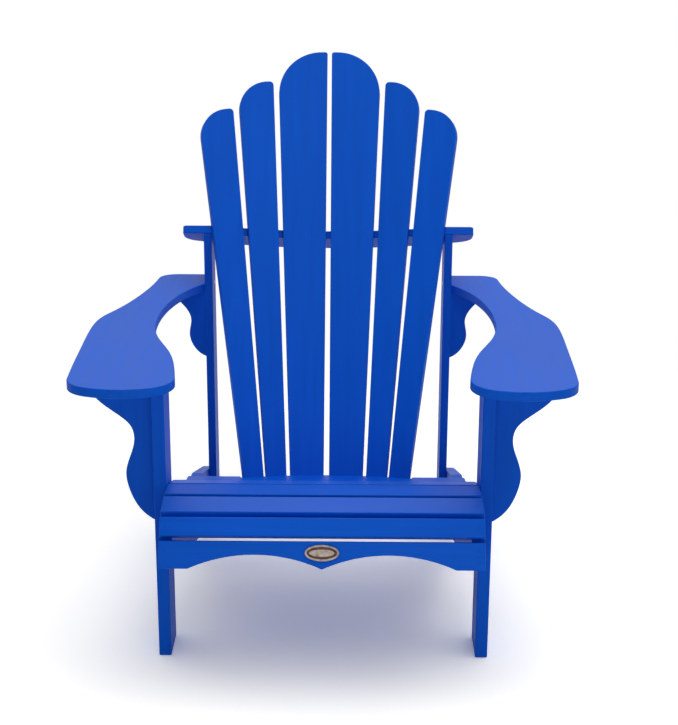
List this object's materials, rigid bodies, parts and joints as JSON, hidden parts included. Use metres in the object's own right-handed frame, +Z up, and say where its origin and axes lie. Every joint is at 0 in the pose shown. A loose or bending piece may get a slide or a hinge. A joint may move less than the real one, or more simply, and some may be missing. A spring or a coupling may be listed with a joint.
{
  "type": "adirondack chair",
  "caption": "Adirondack chair: hollow fanned back of tapered round-topped slats, curved slatted seat, paddle arms on scrolled brackets, arched apron and blank oval badge.",
  "frame": {"origin": "on the floor, in the middle of the chair's footprint", "axes": "+Z up, -Y towards the front of the seat, +X to the right as the chair is seen from its front"},
  "size_m": [0.8562, 0.9042, 1],
  "materials": {
    "frame": "satin",
    "seat": "satin",
    "back": "satin",
    "arm": "satin",
    "plug": "satin",
    "fastener": "satin",
    "badge": "satin"
  },
  "bodies": {
    "root": {"apron": "frame", "apron_plugs": "plug", "apron_screws": "fastener", "arm_left": "arm", "arm_plugs": "plug", "arm_right": "arm", "arm_screws": "fastener", "arm_side_screws": "fastener", "back_slat_centre_left": "back", "back_slat_centre_right": "back", "back_slat_middle_left": "back", "back_slat_middle_right": "back", "back_slat_outer_left": "back", "back_slat_outer_right": "back", "back_slat_plugs": "plug", "back_slat_screws": "fastener", "badge": "badge", "badge_pins": "fastener", "bracket_plugs": "plug", "bracket_screws": "fastener", "front_bracket_left": "frame", "front_bracket_right": "frame", "front_leg_left": "frame", "front_leg_right": "frame", "leg_screws": "fastener", "lower_back_rail": "frame", "lower_rail_plugs": "plug", "lower_rail_screws": "fastener", "post_screws": "fastener", "rear_bracket_left": "frame", "rear_bracket_right": "frame", "rear_post_left": "frame", "rear_post_right": "frame", "seat_slat_1": "seat", "seat_slat_2": "seat", "seat_slat_3": "seat", "seat_slat_4": "seat", "seat_slat_5": "seat", "seat_slat_6": "seat", "seat_slat_7": "seat", "seat_slat_8": "seat", "seat_slat_plugs": "plug", "seat_slat_screws": "fastener", "side_rail_left": "frame", "side_rail_right": "frame", "upper_back_rail": "frame", "upper_rail_screws": "fastener"}
  },
  "joints": []
}
